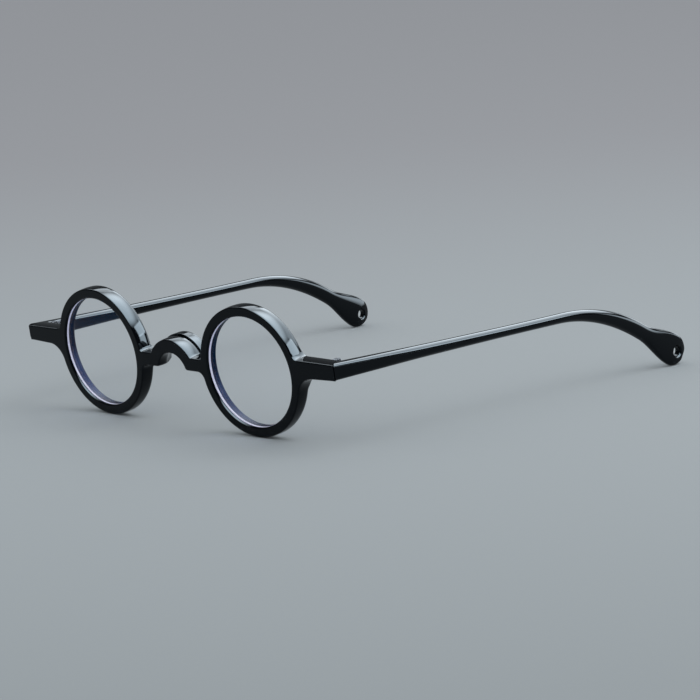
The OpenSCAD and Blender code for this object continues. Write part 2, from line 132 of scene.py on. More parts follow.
class Tree:
    def __init__(self, tree):
        self.tree = tree

    def add(self, kind, settings=None, *values, **named):
        node = self.tree.nodes.new(kind)
        for key, value in (settings or {}).items():
            if key == "stops":
                self.setStops(node.color_ramp, value)
            else:
                setattr(node, key, value)
        for socket, value in zip(node.inputs, values):
            self.feed(socket, value)
        for name, value in named.items():
            self.feed(node.inputs[name.replace("_", " ")], value)
        return Flow(self, next((s for s in node.outputs if s.enabled), None)) if node.outputs else node

    def feed(self, socket, value):
        if isinstance(value, Flow):
            self.tree.links.new(value.socket, socket)
        elif value is not None:
            socket.default_value = value

    def setStops(self, ramp, stops):
        while len(ramp.elements) < len(stops):
            ramp.elements.new(0.5)
        for element, (position, colour) in zip(ramp.elements, stops):
            element.position, element.color = position, colour


def clamped(tree, value):
    return tree.add("ShaderNodeClamp", None, value, 0.0, 1.0)


def eased(tree, value):
    v = clamped(tree, value)
    return v * v * (3 - 2 * v)


# Helpers for meshes

def finishPiece(name, mesh, body, slotName, *nodes, sharp=30, weighted=True):
    mesh.shade_smooth()
    mesh.set_sharp_from_angle(angle=radians(sharp))
    piece = bpy.data.objects.new(name, mesh)
    bpy.context.scene.collection.objects.link(piece)
    if weighted:  # keeps the flat faces flat beside their rounded edges
        normals = piece.modifiers.new("flatFaces", "WEIGHTED_NORMAL")
        normals.keep_sharp, normals.weight, normals.mode = True, 50, "FACE_AREA"
    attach(piece, body)
    if nodes:
        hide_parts(*nodes)
    return piece


def toMesh(name, bm, place):
    bm.transform(place)
    bmesh.ops.remove_doubles(bm, verts=bm.verts[:], dist=1e-6)
    bmesh.ops.dissolve_degenerate(bm, edges=bm.edges[:], dist=1e-6)
    bmesh.ops.recalc_face_normals(bm, faces=bm.faces[:])
    mesh = bpy.data.meshes.new(name)
    bm.to_mesh(mesh)
    bm.free()
    return mesh


def arc(x, z, r, start, end, step=4):
    count = max(2, ceil(abs(end - start) / step))
    angles = [start + (end - start) * i / count for i in range(count + 1)]
    return [(x + r * cosD(a), z + r * sinD(a)) for a in angles]


def straight(p, q, step=1.5):
    count = max(1, ceil(sqrt((q[0] - p[0]) ** 2 + (q[1] - p[1]) ** 2) / step))
    return [(p[0] + (q[0] - p[0]) * i / count, p[1] + (q[1] - p[1]) * i / count) for i in range(count + 1)]


def joined(*runs):  # one run of points without the doubles where two runs meet
    points = []
    for run in runs:
        for p in run:
            if not points or abs(p[0] - points[-1][0]) + abs(p[1] - points[-1][1]) > 1e-4:
                points.append(p)
    return points


def closedLoop(half):  # the half outline and its mirror image
    return half + [(-x, z) for x, z in reversed(half[1:-1])]


def roundedRun(corners, radius, steps=4):  # an open run of points with its inner corners rounded
    run = [Vector(corners[0])]
    for before, corner, after in zip(corners, corners[1:], corners[2:]):
        c, a, b = Vector(corner), Vector(before), Vector(after)
        reach = min(radius, (a - c).length / 2, (b - c).length / 2)
        p, q = c + (a - c).normalized() * reach, c + (b - c).normalized() * reach
        for i in range(steps + 1):
            t = i / steps
            run.append(p * (1 - t) ** 2 + c * 2 * t * (1 - t) + q * t ** 2)
    run.append(Vector(corners[-1]))
    return [(v[0], v[1]) for v in run]


def lathe(bm, profile, segments):  # turns (radius, depth) points round the axis of the depth
    rings = []
    for r, y in profile:
        if r < 1e-6:
            rings.append([bm.verts.new((0, y, 0))])
            continue
        angles = [360 * k / segments for k in range(segments)]
        rings.append([bm.verts.new((r * cosD(a), y, r * sinD(a))) for a in angles])
    for a, b in zip(rings, rings[1:]):
        bridgeRings(bm, a, b)
    return rings


def bridgeRings(bm, a, b):
    count = max(len(a), len(b))
    for i in range(count):
        corners = [a[i % len(a)], a[(i + 1) % len(a)], b[(i + 1) % len(b)], b[i % len(b)]]
        unique = [v for k, v in enumerate(corners) if v not in corners[:k]]
        if len(unique) > 2:
            bm.faces.new(unique)


def fillLoops(bm, loops):  # a flat fill between an outline and its holes, each of (vertex, x, z)
    flat = [entry for loop in loops for entry in loop]
    for a, b, c in tessellate_polygon([[Vector((x, z, 0)) for _, x, z in loop] for loop in loops]):
        corners = [flat[i][0] for i in (a, b, c)]
        if len(set(corners)) == 3 and not bm.faces.get(corners):
            bm.faces.new(corners)


def insetDirections(loop):  # outward, at each corner long enough to keep the sides parallel
    found, count = [], len(loop)
    for i, (x, z) in enumerate(loop):
        before, after = loop[i - 1], loop[(i + 1) % count]
        a = Vector((-(z - before[1]), x - before[0])).normalized()
        b = Vector((-(after[1] - z), after[0] - x)).normalized()
        found.append((a + b) / max(0.3, 1 + a.dot(b)))
    return found


def edgeProfile(depth, frontR, backR, crown=0.0, steps=5, sideSteps=6):  # (inset, depth), face to back
    angles = [90 * i / steps for i in range(steps + 1)]
    flat = depth - frontR - backR
    run = [(frontR * (1 - sinD(a)), frontR * (1 - cosD(a))) for a in angles]
    run += [(0, frontR + flat * i / sideSteps) for i in range(1, sideSteps)]
    run += [(backR * (1 - cosD(a)), depth - backR * (1 - sinD(a))) for a in angles]
    return [(inset + crown * (2 * y / depth - 1) ** 2, y) for inset, y in run]


def edgeRings(bm, loop, profiles, placed):  # the edge of a sheet, as rings of (vertex, x, z), face to back
    away, rings = insetDirections(loop), []
    for k in range(len(profiles[0])):
        ring = []
        for (x, z), n, profile in zip(loop, away, profiles):
            inset, y = profile[k]
            where, flatX, flatZ = placed(x, y, z, n * inset)
            ring.append((bm.verts.new(where), flatX, flatZ))
        rings.append(ring)
    for a, b in zip(rings, rings[1:]):
        bridgeRings(bm, [e[0] for e in a], [e[0] for e in b])
    return rings


# The front: two rims, the bridge and the two end pieces, milled from one sheet

front = {  # millimetres, in the upright front
    "crown": 0.2, "backEdge": 0.9, "lowBackEdge": 1.9, "lowFrom": 0.25, "endBackEdge": 0.25, "onRim": 0.02,
    "bridgeBackEdge": 0.06, "mitreEdge": 0.18, "bendStart": 11.5, "bendRun": 3,
    "windowBevel": 0.4, "windowBackBevel": 0.3, "windowLip": 0.2, "windowRound": 0.12, "windowSteps": 180,
    "grooveY": 1.2, "bevelW": 1.1, "fit": 0.05,
    "endTop": 5.35, "endUnder": -0.05, "tipTop": 5.1, "tipUnder": 0.2,
    "endTopFillet": 2, "endUnderFillet": 6, "endStart": 26,
    "crestZ": 7.1, "archR": 10.2, "archFillet": 1.2, "kneeR": 1.2,
    "legTop": 2.3, "legUnder": -1.93, "legTopFillet": 1, "legUnderFillet": 2.5, "legFlat": 1.4,
    "faceCut": 12.2,  # where the faces are parted for their filling
}


def bridgeRuns(flare):  # the arch and its hollow, each as a run of points on the +X side
    archZ = front["crestZ"] - front["archR"]
    topZ, topR, r = front["legTop"] + flare, front["archR"] + flare, front["archFillet"]
    filletX = sqrt((topR + r) ** 2 - (topZ + r - archZ) ** 2)
    filletTurn = degrees(atan2(topZ + r - archZ, filletX))
    kneeZ = front["legUnder"] + front["kneeR"]
    kneeX = sqrt((glasses["hollowR"] + front["kneeR"]) ** 2 - (kneeZ - glasses["hollowZ"]) ** 2)
    kneeTurn = degrees(atan2(kneeZ - glasses["hollowZ"], kneeX))
    over = joined(arc(0, archZ, topR, 90, filletTurn, 3), arc(filletX, topZ + r, r, 180 + filletTurn, 270, 8))
    under = joined(arc(kneeX, kneeZ, front["kneeR"], 270, 180 + kneeTurn, 8),
                   arc(0, glasses["hollowZ"], glasses["hollowR"], kneeTurn, 90, 3))
    return over, under


def filletSpan(z, r):  # distance of a fillet's centre from the lens centre, and its bearing
    span = sqrt((glasses["rimR"] + r) ** 2 - (z + r) ** 2)
    return span, degrees(atan2(z + r, span))


def frontOutline():
    over, under = bridgeRuns(0)
    rimX, rimR = glasses["rimX"], glasses["rimR"]
    r1, r2, r3, r4 = (front[k] for k in ("legTopFillet", "endTopFillet", "endUnderFillet", "legUnderFillet"))
    x1, a1 = filletSpan(front["legTop"], r1)
    x2, a2 = filletSpan(front["endTop"], r2)
    x3, a3 = filletSpan(-front["endUnder"], r3)
    x4, a4 = filletSpan(-front["legUnder"], r4)
    endX = rimX + glasses["endX"]
    tipTop, tipUnder = (endX, front["tipTop"]), (endX, front["tipUnder"])
    half = joined(
        over,
        straight((rimX - x1 - front["legFlat"], front["legTop"]), (rimX - x1, front["legTop"])),
        arc(rimX - x1, front["legTop"] + r1, r1, -90, -a1, 8),
        arc(rimX, 0, rimR, 180 - a1, a2, 2.5),
        arc(rimX + x2, front["endTop"] + r2, r2, 180 + a2, 270, 8),
        straight((rimX + x2, front["endTop"]), tipTop), straight(tipTop, tipUnder),
        straight(tipUnder, (rimX + x3, front["endUnder"])),
        arc(rimX + x3, front["endUnder"] - r3, r3, 90, 180 - a3, 4),
        arc(rimX, 0, rimR, -a3, -180 + a4, 2.5),
        arc(rimX - x4, front["legUnder"] - r4, r4, a4, 90, 6),
        straight((rimX - x4, front["legUnder"]), under[0], 1),
        under)
    return closedLoop(half)


def smoothed(values, rounds=3):
    for _ in range(rounds):
        values = [(values[i - 1] + values[i] + values[(i + 1) % len(values)]) / 3 for i in range(len(values))]
    return values


def edgeRadii(loop):
    atTip = glasses["rimX"] + glasses["endX"] - nearly
    faceR = [front["mitreEdge"] if abs(x) > atTip else glasses["edgeR"] for x, z in loop]
    backR = []
    for x, z in loop:
        away = sqrt((abs(x) - glasses["rimX"]) ** 2 + z ** 2) - glasses["rimR"]
        if abs(x) > atTip:
            backR.append(front["mitreEdge"])
        elif away < front["onRim"]:
            low = min(1, max(0, front["lowFrom"] - z / glasses["rimR"]))
            backR.append(front["backEdge"] + (front["lowBackEdge"] - front["backEdge"]) * low)
        else:
            backR.append(front["endBackEdge"] if abs(x) > glasses["rimX"] else front["bridgeBackEdge"])
    return faceR, smoothed(backR)


def clearNose(x, y, z):  # moves a point out of the cone that the nose takes up behind the bridge
    reach = glasses["hollowR"] + max(0, y - glasses["noseY"]) * glasses["noseSlope"]
    away = sqrt(x * x + (z - glasses["hollowZ"]) ** 2)
    if away < reach and abs(x) < glasses["noseReach"]:
        return x * reach / away, glasses["hollowZ"] + (z - glasses["hollowZ"]) * reach / away
    return x, z


def trimMitre(x, y):  # draws the end piece in towards its back, along the mitre
    start, full = front["endStart"], glasses["endX"]
    out = abs(x) - glasses["rimX"]
    if out <= start:
        return x
    end = full - glasses["mitreRun"] * y / glasses["depth"]
    return (glasses["rimX"] + start + (out - start) * (end - start) / (full - start)) * (1 if x > 0 else -1)


def bentFront(x, y, z):  # from the flat sheet to the standing front, with the rims turned round the face
    side = "left" if x > 0 else "right"
    rim = rimMatrices[side] @ Vector((abs(x) - glasses["rimX"], y, z))
    middle = bridgeAt @ Vector((x, y, z))
    t = min(1, max(0, (abs(x) - front["bendStart"]) / front["bendRun"]))
    return middle.lerp(rim, t * t * (3 - 2 * t))


rimMatrices = {side: rimAt(side) for side in sides}


def windowProfile():  # (radius, depth) from the face, over the lens groove, to the back
    w, g, depth = glasses["windowR"], front["grooveY"], glasses["depth"]
    face, rear, lip, soft = (front[k] for k in ("windowBevel", "windowBackBevel", "windowLip", "windowRound"))
    half = front["bevelW"] / 2 + front["fit"]
    ahead = roundedRun([(w + face + lip, 0), (w + face, 0), (w, face), (w, g - half)], soft)
    behind = roundedRun([(w, g + half), (w, depth - rear), (w + rear, depth), (w + rear + lip, depth)], soft)
    return ahead + [(glasses["lensR"] + front["fit"], g)] + behind


hinge = {  # millimetres, in the frame of a rim
    "pivotX": 29.6, "pivotY": 6.35, "barrelH": 4.1, "leafT": 1, "leafL": 6.4, "webT": 1.4,
    "templeLeafL": 9, "templeLeafH": 3, "recess": 0.1, "fit": 0.03,
}


def leafPocket():  # the recess for the hinge leaf in the back of an end piece: x and z limits
    right = hinge["pivotX"] + hinge["webT"] / 2 + hinge["fit"]
    left = right - hinge["leafL"] - 2 * hinge["fit"]
    half = hinge["barrelH"] / 2 + hinge["fit"]
    return [(left, glasses["endMidZ"] - half), (left, glasses["endMidZ"] + half),
            (right, glasses["endMidZ"] + half), (right, glasses["endMidZ"] - half)]


def buildFront():
    def placed(x, y, z, inset):
        flatX, flatZ = clearNose(x - inset[0], y, z - inset[1])
        flatX = trimMitre(flatX, y)
        return bentFront(flatX, y, flatZ), flatX, flatZ

    bm = bmesh.new()
    loop = frontOutline()
    profiles = [edgeProfile(glasses["depth"], f, b, front["crown"]) for f, b in zip(*edgeRadii(loop))]
    rings = edgeRings(bm, loop, profiles, placed)

    holes = {end: {side: [] for side in sides} for end in (0, -1)}
    window, cutWall = windowProfile(), set()
    around = [360 * k / front["windowSteps"] for k in range(front["windowSteps"])]
    for side in sides:
        sign = 1 if side == "left" else -1
        windowRings = lathe(bm, window, front["windowSteps"])
        cutWall |= {v for (r, y), ring in zip(window, windowRings) for v in ring
                    if front["grooveY"] <= y < glasses["depth"] - front["windowBackBevel"]}
        for ring in windowRings:
            for v in ring:
                v.co = rimMatrices[side] @ v.co
        for end in (0, -1):
            r = window[end][0]
            holes[end][side].append([(v, sign * (glasses["rimX"] + r * cosD(a)), r * sinD(a))
                                     for a, v in zip(around, windowRings[end])])
        outer, inner = [], []
        for x, z in leafPocket():
            for deep, found in ((0, outer), (hinge["leafT"] + hinge["fit"], inner)):
                v = bm.verts.new(rimMatrices[side] @ Vector((x, glasses["depth"] - deep, z)))
                found.append((v, sign * (glasses["rimX"] + x), z))
        bridgeRings(bm, [e[0] for e in outer], [e[0] for e in inner])
        bm.faces.new([e[0] for e in inner])
        holes[-1][side].append(outer)

    for end in (0, -1):  # each face is filled in three parts, which share the vertices of two lines
        ring = rings[end]
        left = [i for i, e in enumerate(ring) if e[1] > front["faceCut"]]
        right = [i for i, e in enumerate(ring) if e[1] < -front["faceCut"]]
        fillLoops(bm, [ring[left[0]:left[-1] + 1]] + holes[end]["left"])
        fillLoops(bm, [ring[right[0]:right[-1] + 1]] + holes[end]["right"])
        fillLoops(bm, [ring[:left[0] + 1] + ring[left[-1]:right[0] + 1] + ring[right[-1]:]])
    # the window walls behind the groove take the second material, with its painted navy reflection
    for f in bm.faces:
        f.material_index = int(cutWall.issuperset(f.verts))
    return finishPiece("frontAcetate", toMesh("frontAcetate", bm, Matrix.Identity(4)),
                       "front_body", "acetate", "front")


frontPiece = buildFront()
print("front: both rims, the bridge and the end pieces")


# The saddle, a block bonded behind the bridge

saddle = {  # millimetres
    "depth": 3.2, "flare": 0.35, "halfW": 11.4, "backEdge": 0.75, "endEdge": 0.45, "seamEdge": 0.1,
    "hollowEdge": 0.3, "hollowBand": 1.3,  # the edge over the nose, and how far out it reaches
}


def buildSaddle():
    def placed(x, y, z, inset):
        y += glasses["depth"]
        flatX, flatZ = clearNose(x, y, z)
        flatX, flatZ = flatX - inset[0], flatZ - inset[1]
        return (flatX, y, flatZ), flatX, flatZ

    bm = bmesh.new()
    over, under = bridgeRuns(saddle["flare"])
    top = front["legTop"] + saddle["flare"]
    corner = roundedRun([over[-1], (saddle["halfW"], top), (saddle["halfW"], front["legUnder"]), under[0]],
                        saddle["endEdge"], 5)
    loop = closedLoop(joined(over, corner, under))
    hollow = glasses["hollowR"] + saddle["hollowBand"]
    backR = smoothed([saddle["hollowEdge"] if sqrt(x * x + (z - glasses["hollowZ"]) ** 2) < hollow
                      else saddle["backEdge"] for x, z in loop])
    profiles = [edgeProfile(saddle["depth"], saddle["seamEdge"], r) for r in backR]
    rings = edgeRings(bm, loop, profiles, placed)
    fillLoops(bm, [rings[0]])
    fillLoops(bm, [rings[-1]])
    return finishPiece("saddleBlock", toMesh("saddleBlock", bm, bridgeAt), "front_body", "saddle_acetate",
                       "bridge_saddle")


saddlePiece = buildSaddle()
print("saddle: block behind the bridge")


# The lenses

lens = {"curveR": 120, "thick": 1.9, "fit": 0.05, "segments": 180, "rings": 20}


def buildLens(side):
    bm = bmesh.new()
    land, edgeY = glasses["windowR"] - lens["fit"], front["grooveY"] - front["bevelW"] / 2
    vertexY = edgeY - (lens["curveR"] - sqrt(lens["curveR"] ** 2 - glasses["windowR"] ** 2))

    def face(r, y):
        return (r, y + lens["curveR"] - sqrt(lens["curveR"] ** 2 - r * r))

    radii = [land * i / lens["rings"] for i in range(lens["rings"] + 1)]
    profile = [face(r, vertexY) for r in radii]
    profile += [(glasses["lensR"], front["grooveY"]), (land, front["grooveY"] + front["bevelW"] / 2)]
    profile += [face(r, vertexY + lens["thick"]) for r in reversed(radii)]
    lathe(bm, profile, lens["segments"])
    for f in bm.faces:
        if min(v.co.xz.length for v in f.verts) > land - nearly:
            f.material_index = 1  # the ground bevel
    name = "lens" + side.capitalize()
    return finishPiece(name, toMesh(name, bm, rimMatrices[side]), "front_body", "lens", "lens_" + side,
                       weighted=False)


lensPieces = [buildLens(side) for side in sides]
print("lenses:", len(lensPieces))


# The temples, swept along their route by a geometry node tree

def treeWithInputs(name, sizes):
    group = bpy.data.node_groups.new(name, "GeometryNodeTree")
    for key, value in sizes.items():
        socket = group.interface.new_socket(key, in_out="INPUT", socket_type="NodeSocketFloat")
        socket.default_value = value
    group.interface.new_socket("Material", in_out="INPUT", socket_type="NodeSocketMaterial")
    group.interface.new_socket("Geometry", in_out="OUTPUT", socket_type="NodeSocketGeometry")
    tree = Tree(group)
    entry = group.nodes.new("NodeGroupInput")
    sockets = {s.name: Flow(tree, s) for s in entry.outputs if s.name}
    return group, tree, sockets


def meshFromTree(name, group, sizes):  # the materials come later, with those of the other pieces
    holder = bpy.data.objects.new(name, bpy.data.meshes.new(name))
    bpy.context.scene.collection.objects.link(holder)
    modifier = holder.modifiers.new(name, "NODES")
    modifier.node_group = group
    for item in group.interface.items_tree:
        if item.in_out == "INPUT" and item.name in sizes:
            modifier[item.identifier] = float(sizes[item.name])
    evaluated = holder.evaluated_get(bpy.context.evaluated_depsgraph_get())
    mesh = bpy.data.meshes.new_from_object(evaluated)
    bpy.data.objects.remove(holder)
    return mesh


sweep = {
    "rows": 190, "capShare": 0.14, "cornerSteps": 8, "faceSteps": 7,
    "weld": 0.0005, "nudge": 0.001,  # the nudge keeps a whole number from falling to the one before
}

templeSizes = {**temple, "templeZ": templeZ, "paddleS": paddleS}


def templeTree():
    group, tree, size = treeWithInputs("templeSweep", templeSizes)
    corners, quarterLen = sweep["cornerSteps"], sweep["cornerSteps"] + 1 + sweep["faceSteps"]
    around = 4 * quarterLen
    grid = tree.add("GeometryNodeMeshGrid", None, 1.0, 1.0, sweep["rows"], around + 1)
    index = tree.add("GeometryNodeInputIndex")
    row = (index / (around + 1) + sweep["nudge"]).math("FLOOR")
    column = index - row * (around + 1)
    quarter = (column / quarterLen + sweep["nudge"]).math("FLOOR")
    step = column - quarter * quarterLen
    along = row / (sweep["rows"] - 1)
    body = clamped(tree, along / (1 - sweep["capShare"]))
    cap = clamped(tree, (along - 1 + sweep["capShare"]) / sweep["capShare"])
    s = body * (size["paddleS"] + size["lead"]) - size["lead"] \
        + size["paddleR"] * (cap * (pi / 2)).math("SINE")

    bendLimit = size["bendAngle"] * (pi / 180)
    bend = ((s - size["straight"]) / size["bendR"]).math("MAXIMUM", 0.0).math("MINIMUM", bendLimit)
    past = (s - size["straight"] - size["bendR"] * bendLimit).math("MAXIMUM", 0.0)
    sine, cosine = bend.math("SINE"), bend.math("COSINE")
    routeY = s.math("MINIMUM", size["straight"]) + size["bendR"] * sine + past * cosine
    routeZ = size["templeZ"] - size["bendR"] * (1 - cosine) - past * sine

    neckS = size["paddleS"] - size["flareL"]
    onFlare = eased(tree, (s - neckS) / size["flareL"])
    taper = 1 - (1 - clamped(tree, s / size["waistStart"])) ** size["taper"]
    toNeck = eased(tree, (s - size["waistEnd"]) / (neckS - size["waistEnd"]))
    bar = size["frontHalf"] + (size["waistHalf"] - size["frontHalf"]) * taper \
        + (size["neckHalf"] - size["waistHalf"]) * toNeck + (size["paddleR"] - size["neckHalf"]) * onFlare
    beyond = (s - size["paddleS"]).math("MAXIMUM", 0.0)
    onCap = s.math("GREATER_THAN", size["paddleS"])
    rounding = (size["paddleR"] * size["paddleR"] - beyond * beyond).math("MAXIMUM", 0.0).math("SQRT")
    halfH = bar + (rounding - bar) * onCap

    thick = size["thick"] + (size["tipThick"] - size["thick"]) * clamped(tree, s / size["paddleS"])
    edge = size["jointEdgeR"] + (size["edgeR"] - size["jointEdgeR"]) * eased(tree, s / size["edgeBlend"]) \
        + (size["tipEdgeR"] - size["edgeR"]) * onFlare
    near = ((beyond - size["paddleR"]) / edge + 1).math("MAXIMUM", 0.0)
    halfT = thick / 2 - edge * (1 - (1 - near * near).math("MAXIMUM", 0.0).math("SQRT"))
    r = edge.math("MINIMUM", halfH).math("MINIMUM", halfT)

    corner = quarter.math("MODULO", 4.0)  # from the top outer edge, over the top, and on round
    outward = 1 - 2 * corner.math("GREATER_THAN", 0.5) * corner.math("LESS_THAN", 2.5)
    upward = 1 - 2 * corner.math("GREATER_THAN", 1.5)
    onFace = (step - corners).math("MAXIMUM", 0.0) / (sweep["faceSteps"] + 1)
    side, rise = outward - (upward + outward) * onFace, upward + (outward - upward) * onFace
    tipBulge = size["tipCrownOut"] + (size["tipCrownIn"] - size["tipCrownOut"]) * side.math("LESS_THAN", 0.0)
    bulge = (size["crown"] + (tipBulge - size["crown"]) * onFlare) \
        * eased(tree, (s - size["crownStart"]) / size["crownRun"])
    bulge = bulge.math("MINIMUM", halfT - r)
    angle = (quarter + step.math("MINIMUM", float(corners)) / corners) * (pi / 2)
    up = rise * (halfH - r) + r * angle.math("SINE")
    drawnIn = bulge * (up * up + beyond * beyond) / (halfH * halfH + beyond * beyond)
    across = side * (halfT - r - drawnIn) + r * angle.math("COSINE")
    position = tree.add("ShaderNodeCombineXYZ", None,
                        across - thick / 2, routeY + up * sine, routeZ + up * cosine)

    placed = tree.add("GeometryNodeSetPosition", None, grid, True, position)
    welded = tree.add("GeometryNodeMergeByDistance", None, placed, Distance=sweep["weld"])
    real = tree.add("GeometryNodeRealizeInstances", None, welded)
    painted = tree.add("GeometryNodeSetMaterial", None, real, True, size["Material"])
    outlet = group.nodes.new("NodeGroupOutput")
    group.links.new(painted.socket, outlet.inputs[0])
    return group


def routeAt(s):
    a = min(temple["bendAngle"], max(0, degrees((s - temple["straight"]) / temple["bendR"])))
    past = max(0, s - temple["straight"] - bendL)
    return (min(s, temple["straight"]) + temple["bendR"] * sinD(a) + past * cosD(a),
            templeZ - temple["bendR"] * (1 - cosD(a)) - past * sinD(a))


def boxMesh(bm, low, high):
    for v in bmesh.ops.create_cube(bm, size=1)["verts"]:
        v.co = Vector([l + (h - l) * (c + 0.5) for l, h, c in zip(low, high, v.co)])


cordHole = {  # millimetres
    "r": 1.5, "bevel": 0.4, "round": 0.12, "inset": 3.4, "steps": 72,
    "dish": 0.2,  # how far the crown falls there
}

cutter = {  # millimetres
    "mitreGap": 0.07, "round": 0.12, "roundSteps": 3, "innerEdge": 0.2, "past": 1,
    "alike": 0.995,  # how closely a face of the cut end faces as the mitre does
    "reachX": 10, "reachY": -8, "reachZ": (-12, 16),  # the block outside the mitre
}


def cutFrom(mesh, name, tools):  # takes the tools' shapes out of a mesh
    target = bpy.data.objects.new(name, mesh)
    bpy.context.scene.collection.objects.link(target)
    holders = []
    for i, bm in enumerate(tools):
        bmesh.ops.recalc_face_normals(bm, faces=bm.faces[:])
        toolMesh = bpy.data.meshes.new(f"{name}Tool{i}")
        bm.to_mesh(toolMesh)
        bm.free()
        tool = bpy.data.objects.new(f"{name}Tool{i}", toolMesh)
        bpy.context.scene.collection.objects.link(tool)
        cut = target.modifiers.new(f"cut{i}", "BOOLEAN")
        cut.operation, cut.object, cut.solver = "DIFFERENCE", tool, "EXACT"
        holders.append(tool)
    result = bpy.data.meshes.new_from_object(target.evaluated_get(bpy.context.evaluated_depsgraph_get()))
    for o in [target] + holders:
        bpy.data.objects.remove(o)
    return result


rimToTemple = templeAt("left").inverted() @ rimMatrices["left"]


def templeTools():  # the mitre, the recess of the hinge leaf and the cord hole, in the temple's frame
    gap, run, depth = cutter["mitreGap"], glasses["mitreRun"], glasses["depth"]
    slope = run / depth
    side = gap * sqrt(1 + slope * slope)
    back = depth + gap

    def mitreX(y):
        return glasses["endX"] + side - slope * y

    mitre = bmesh.new()
    farX, farY = cutter["reachX"], cutter["reachY"]
    outline = [(mitreX(back), back), (farX, back), (farX, farY), (mitreX(farY), farY)]
    rings = [[mitre.verts.new((x, y, z)) for x, y in outline] for z in cutter["reachZ"]]
    bridgeRings(mitre, *rings)
    mitre.faces.new(rings[0])
    mitre.faces.new(rings[1])
    mitre.transform(rimToTemple)

    pivot = rimToTemple @ Vector((hinge["pivotX"], hinge["pivotY"], glasses["endMidZ"]))
    leaf = bmesh.new()
    inner, fit = -temple["thick"] + hinge["recess"], hinge["fit"]
    start, halfLeaf = pivot[1] - hinge["webT"] / 2, hinge["templeLeafH"] / 2
    boxMesh(leaf, (inner - cutter["past"], start - fit, pivot[2] - halfLeaf - fit),
            (inner + hinge["leafT"] + fit, start + hinge["templeLeafL"] + fit, pivot[2] + halfLeaf + fit))

    holeS = paddleS + temple["paddleR"] - cordHole["inset"]
    y, z = routeAt(holeS)
    deep = temple["thick"] + (temple["tipThick"] - temple["thick"]) * min(1, holeS / paddleS)
    r, b, past = cordHole["r"], cordHole["bevel"] + cordHole["dish"], cutter["past"]
    hole = bmesh.new()
    corners = [(0, -deep - past), (r + b + past, -deep - past), (r, -deep + b), (r, -b), (r + b + past, past),
               (0, past)]
    lathe(hole, roundedRun(corners, cordHole["round"]), cordHole["steps"])
    hole.transform(shift(0, y, z) @ turn(-90, "Z"))
    return [mitre, leaf, hole]


def softenMitre(bm):  # rounds the outer edges of the cut end
    bmesh.ops.remove_doubles(bm, verts=bm.verts[:], dist=sweep["weld"])
    bmesh.ops.recalc_face_normals(bm, faces=bm.faces[:])
    facing = rimToTemple.to_3x3() @ Vector((-glasses["depth"], -glasses["mitreRun"], 0))
    facing.normalize()
    atCut = {f for f in bm.faces if f.normal.dot(facing) > cutter["alike"]}
    edges = []
    for e in bm.edges:
        inCut = [f in atCut for f in e.link_faces]
        middle = (e.verts[0].co + e.verts[1].co) / 2
        if len(inCut) == 2 and inCut[0] != inCut[1] and middle.x > cutter["innerEdge"] - temple["thick"]:
            edges.append(e)
    bmesh.ops.bevel(bm, geom=edges, offset=cutter["round"], segments=cutter["roundSteps"], profile=0.5,
                    affect="EDGES", clamp_overlap=True)


templeGroup = templeTree()


def buildTemple(side):
    name = "temple" + side.capitalize()
    mesh = meshFromTree(name, templeGroup, templeSizes)
    bm = bmesh.new()
    bm.from_mesh(mesh)
    bmesh.ops.holes_fill(bm, edges=[e for e in bm.edges if e.is_boundary], sides=0)
    bmesh.ops.recalc_face_normals(bm, faces=bm.faces[:])
    bm.to_mesh(mesh)
    bm.free()
    cut = cutFrom(mesh, name, templeTools())
    bm = bmesh.new()
    bm.from_mesh(cut)
    softenMitre(bm)
    return finishPiece(name, toMesh(name, bm, templeAt(side)), f"temple_{side}_body", "acetate",
                       "temple_" + side)


templePieces = [buildTemple(side) for side in sides]
print("temples:", len(templePieces))


# The camera

camera = {  # millimetres and degrees in the frame of the front, from the lines of the photograph
    "place": (733.265, -632.131, 199.875), "yaw": -46.178, "pitch": 10.555, "roll": 3.455,
    "focal": 3383.948, "image": 700, "sensor": 36,  # focal length and image width in pixels
}


def placeCamera():
    yaw, pitch, roll = camera["yaw"], camera["pitch"], camera["roll"]
    ahead = Vector((sinD(yaw) * cosD(pitch), cosD(yaw) * cosD(pitch), -sinD(pitch)))
    right = Vector((cosD(yaw), -sinD(yaw), 0))
    down = ahead.cross(right)
    x = right * cosD(roll) + down * sinD(roll)
    y = -(down * cosD(roll) - right * sinD(roll))
    data = bpy.data.cameras.new("camera")
    data.lens, data.sensor_width = camera["focal"] * camera["sensor"] / camera["image"], camera["sensor"]
    data.clip_start, data.clip_end = 0.01, 50
    holder = bpy.data.objects.new("camera", data)
    bpy.context.scene.collection.objects.link(holder)
    turned = Matrix((x, y, -ahead)).transposed().to_4x4()
    holder.matrix_world = Matrix.Translation((Vector(camera["place"]) - Vector((0, midY, 0))) * mm) @ turned
    bpy.context.scene.camera = holder


placeCamera()


# Materials

def newMaterial(name):
    material = bpy.data.materials.new(name)
    material.use_nodes = True
    material.node_tree.nodes.clear()
    return material, Tree(material.node_tree)


def finishMaterial(tree, shader):
    tree.add("ShaderNodeOutputMaterial", None, shader)


def objectSpace(tree, stretch):
    coordinates = tree.add("ShaderNodeTexCoord").out("Object")
    return tree.add("ShaderNodeMapping", None, coordinates, Scale=stretch)


def noise(tree, place, scale, detail=2.0, roughness=0.5):
    return tree.add("ShaderNodeTexNoise", None, place, Scale=scale, Detail=detail, Roughness=roughness)


def mixColours(tree, factor, a, b):
    node = tree.add("ShaderNodeMix", {"data_type": "RGBA"}).socket.node
    for index, value in ((0, factor), (6, a), (7, b)):  # the node's sockets for colours go by number
        tree.feed(node.inputs[index], value)
    return Flow(tree, node.outputs[2])


def ramped(tree, value, start, gain):  # 0 up to the start, and from there to 1 by the gain
    return clamped(tree, (value - start) * gain)


